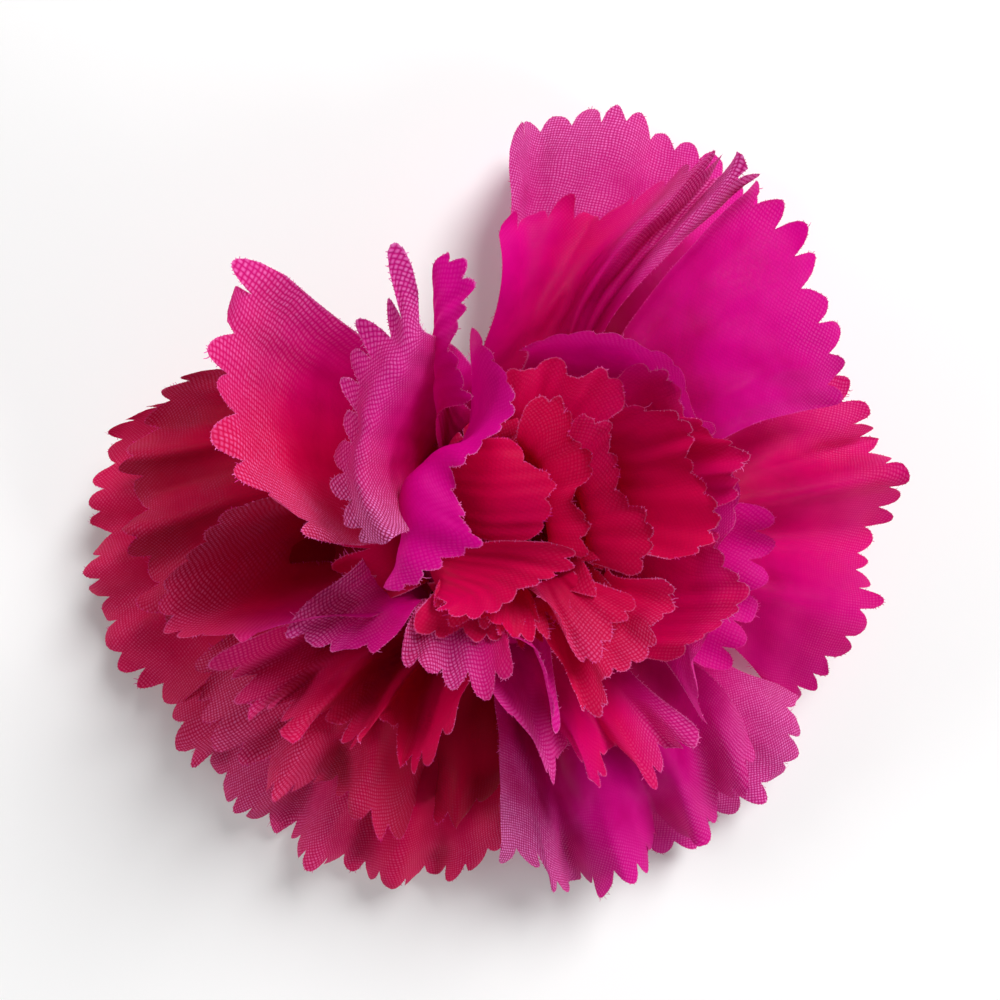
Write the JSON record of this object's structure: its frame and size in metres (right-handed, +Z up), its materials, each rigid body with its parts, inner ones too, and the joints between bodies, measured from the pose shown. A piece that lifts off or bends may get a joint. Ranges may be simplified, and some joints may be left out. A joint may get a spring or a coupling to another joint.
{
  "type": "artificial carnation flower head",
  "caption": "Flower head of ruffled woven-fabric petal discs with pinked edges on a small green calyx, resting face up.",
  "frame": {"origin": "middle of the flat base of the calyx", "axes": "+Z up along the flower's axis, out of the face; +Y towards the long single outer lobe; +X to its right seen from above"},
  "size_m": [0.0757, 0.0706, 0.0397],
  "materials": {
    "petal_cloth": "woven polyester, stiffened, slight sheen, frayed cut edges",
    "calyx_plastic": "moulded, soft matte",
    "core_plastic": "moulded, natural white"
  },
  "bodies": {
    "root": {"calyx": "calyx_plastic", "core_pin": "core_plastic", "petal_spacer": "core_plastic", "petal_disc_1": "petal_cloth", "petal_disc_2": "petal_cloth", "petal_disc_3": "petal_cloth", "petal_disc_4": "petal_cloth", "petal_disc_5": "petal_cloth", "petal_disc_6": "petal_cloth", "petal_disc_7": "petal_cloth", "petal_disc_8": "petal_cloth"}
  },
  "joints": []
}
